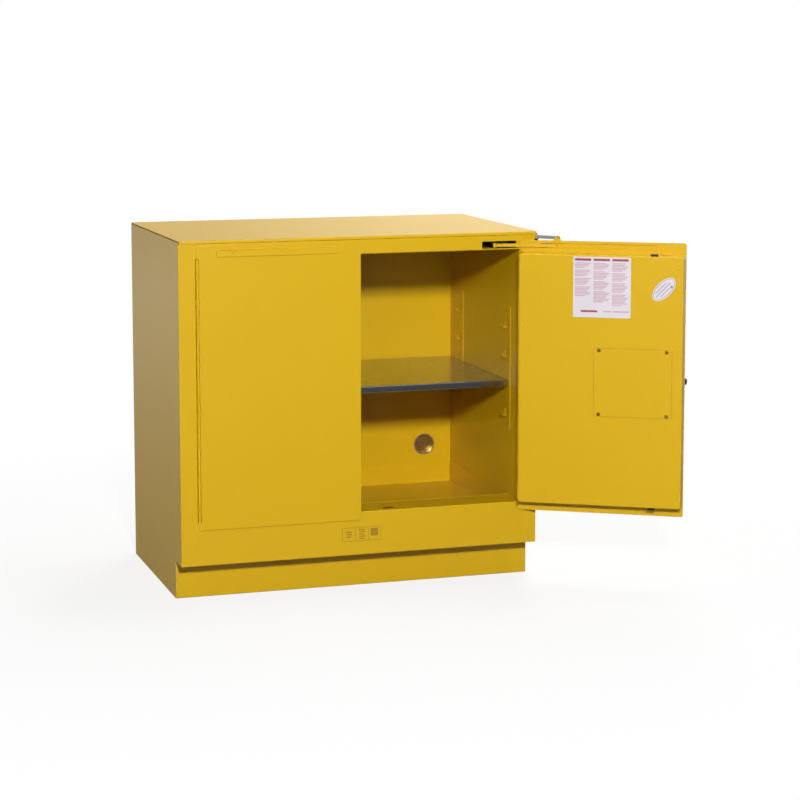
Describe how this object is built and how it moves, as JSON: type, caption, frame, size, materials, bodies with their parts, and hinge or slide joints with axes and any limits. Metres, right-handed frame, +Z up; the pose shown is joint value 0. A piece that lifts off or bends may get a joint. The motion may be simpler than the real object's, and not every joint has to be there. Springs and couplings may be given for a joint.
{
  "type": "flammables safety cabinet",
  "caption": "Double-walled steel safety cabinet for flammable liquids: self-closing doors on continuous hinges, turning handle with bolts up and down, fusible link, shelf and sump.",
  "frame": {"origin": "on the floor, under the middle of the cabinet's body", "axes": "+X to the right of someone facing the doors, -Y out of the front, +Z up; the left door is closed and the right door open at rest"},
  "size_m": [1.2086, 0.8148, 0.86],
  "materials": {
    "yellow_powder_coat": "semi-gloss yellow powder coat on folded steel sheet",
    "galvanised_steel": "galvanised sheet, lightly spangled",
    "zinc_plated_steel": "bright zinc plate",
    "black_plastic": "black moulded plastic, fine texture",
    "chrome_plate": "polished plate",
    "brass": "plain brass"
  },
  "bodies": {
    "carcass": {"left_side_panel": "yellow_powder_coat", "right_side_panel": "yellow_powder_coat", "top_panel": "yellow_powder_coat", "back_panel": "yellow_powder_coat", "bottom_panel": "yellow_powder_coat", "toe_kick": "yellow_powder_coat", "rear_base_rail": "yellow_powder_coat", "left_stile": "yellow_powder_coat", "right_stile": "yellow_powder_coat", "header_rail": "yellow_powder_coat", "bottom_rail": "yellow_powder_coat", "left_side_liner": "yellow_powder_coat", "right_side_liner": "yellow_powder_coat", "back_liner": "yellow_powder_coat", "ceiling_liner": "yellow_powder_coat", "sump_pan": "yellow_powder_coat", "left_front_shelf_standard": "yellow_powder_coat", "right_front_shelf_standard": "yellow_powder_coat", "left_rear_shelf_standard": "yellow_powder_coat", "right_rear_shelf_standard": "yellow_powder_coat", "left_hinge_frame_leaf": "yellow_powder_coat", "left_hinge_pin": "galvanised_steel", "right_hinge_frame_leaf": "yellow_powder_coat", "right_hinge_pin": "galvanised_steel", "left_closer_body": "zinc_plated_steel", "right_closer_body": "zinc_plated_steel", "link_post": "zinc_plated_steel", "upper_vent_sleeve": "zinc_plated_steel", "upper_flame_arrester": "brass", "lower_vent_sleeve": "zinc_plated_steel", "lower_flame_arrester": "brass", "earth_screw": "brass"},
    "left_door": {"left_door_skin": "yellow_powder_coat", "left_door_pan": "yellow_powder_coat", "left_hinge_door_leaf": "yellow_powder_coat", "left_closer_track": "yellow_powder_coat", "left_link_bracket": "yellow_powder_coat"},
    "right_door": {"right_door_skin": "yellow_powder_coat", "right_door_pan": "yellow_powder_coat", "right_hinge_door_leaf": "yellow_powder_coat", "right_closer_track": "yellow_powder_coat", "right_link_bracket": "yellow_powder_coat", "latch_cover": "yellow_powder_coat", "latch_bearing": "zinc_plated_steel", "handle_rose": "black_plastic"},
    "handle": {"handle_lever": "black_plastic", "latch_cam": "zinc_plated_steel"},
    "lock_cylinder": {"lock_cylinder": "chrome_plate"},
    "top_latch_rod": {"top_latch_rod": "zinc_plated_steel"},
    "bottom_latch_rod": {"bottom_latch_rod": "zinc_plated_steel"},
    "left_closer_arm": {"left_closer_arm": "yellow_powder_coat"},
    "right_closer_arm": {"right_closer_arm": "yellow_powder_coat"},
    "fusible_link": {"fusible_link": "zinc_plated_steel"},
    "shelf": {"shelf": "galvanised_steel"},
    "upper_vent_bung": {"upper_vent_bung": "zinc_plated_steel"},
    "lower_vent_bung": {"lower_vent_bung": "zinc_plated_steel"},
    "front_left_foot": {"front_left_foot": "zinc_plated_steel"},
    "front_right_foot": {"front_right_foot": "zinc_plated_steel"},
    "rear_left_foot": {"rear_left_foot": "zinc_plated_steel"},
    "rear_right_foot": {"rear_right_foot": "zinc_plated_steel"}
  },
  "joints": [
    {"name": "left_door_hinge", "type": "hinge", "parent": "carcass", "child": "left_door", "pos_m": [-0.4, -0.283, 0.507], "axis": [0, 0, -1], "range_deg": [0, 148.7]},
    {"name": "right_door_hinge", "type": "hinge", "parent": "carcass", "child": "right_door", "pos_m": [0.4, -0.283, 0.507], "axis": [0, 0, 1], "range_deg": [-148.7, 0]},
    {"name": "left_closer_turn", "type": "hinge", "parent": "carcass", "child": "left_closer_arm", "pos_m": [-0.338, -0.2715, 0.828], "axis": [0, 0, -1], "range_deg": [0, 153]},
    {"name": "right_closer_turn", "type": "hinge", "parent": "carcass", "child": "right_closer_arm", "pos_m": [0.338, -0.2715, 0.828], "axis": [0, 0, 1], "range_deg": [-153, 0]},
    {"name": "handle_turn", "type": "hinge", "parent": "right_door", "child": "handle", "pos_m": [0.68112, -0.45392, 0.5045], "axis": [0.5195, 0.8545, 0], "range_deg": [0, 90]},
    {"name": "key_turn", "type": "hinge", "parent": "handle", "child": "lock_cylinder", "pos_m": [0.68112, -0.45392, 0.5045], "axis": [0.5195, 0.8545, 0], "range_deg": [0, 90]},
    {"name": "top_rod_slide", "type": "slide", "parent": "right_door", "child": "top_latch_rod", "axis": [0, 0, 1], "range_m": [0, 0.014]},
    {"name": "bottom_rod_slide", "type": "slide", "parent": "right_door", "child": "bottom_latch_rod", "axis": [0, 0, -1], "range_m": [0, 0.014]},
    {"name": "fusible_link_turn", "type": "hinge", "parent": "carcass", "child": "fusible_link", "pos_m": [0.44, -0.2855, 0.8475], "axis": [0, 0, 1], "range_deg": [0, 60]},
    {"name": "shelf_lift", "type": "slide", "parent": "carcass", "child": "shelf", "axis": [0, 0, 1], "range_m": [0, 0.05]},
    {"name": "upper_bung_out", "type": "slide", "parent": "carcass", "child": "upper_vent_bung", "axis": [0, 1, 0], "range_m": [0, 0.02]},
    {"name": "lower_bung_out", "type": "slide", "parent": "carcass", "child": "lower_vent_bung", "axis": [0, 1, 0], "range_m": [0, 0.02]},
    {"name": "front_left_foot_height", "type": "slide", "parent": "carcass", "child": "front_left_foot", "axis": [0, 0, -1], "range_m": [0, 0.02]},
    {"name": "front_right_foot_height", "type": "slide", "parent": "carcass", "child": "front_right_foot", "axis": [0, 0, -1], "range_m": [0, 0.02]},
    {"name": "rear_left_foot_height", "type": "slide", "parent": "carcass", "child": "rear_left_foot", "axis": [0, 0, -1], "range_m": [0, 0.02]},
    {"name": "rear_right_foot_height", "type": "slide", "parent": "carcass", "child": "rear_right_foot", "axis": [0, 0, -1], "range_m": [0, 0.02]}
  ],
  "couplings": [
    {"joint": "left_closer_turn", "follows": "left_door_hinge", "ratio": 1.0285},
    {"joint": "right_closer_turn", "follows": "right_door_hinge", "ratio": 1.0285},
    {"joint": "top_rod_slide", "follows": "handle_turn", "m_per_rad": 0.0089127},
    {"joint": "bottom_rod_slide", "follows": "handle_turn", "m_per_rad": 0.0089127}
  ]
}
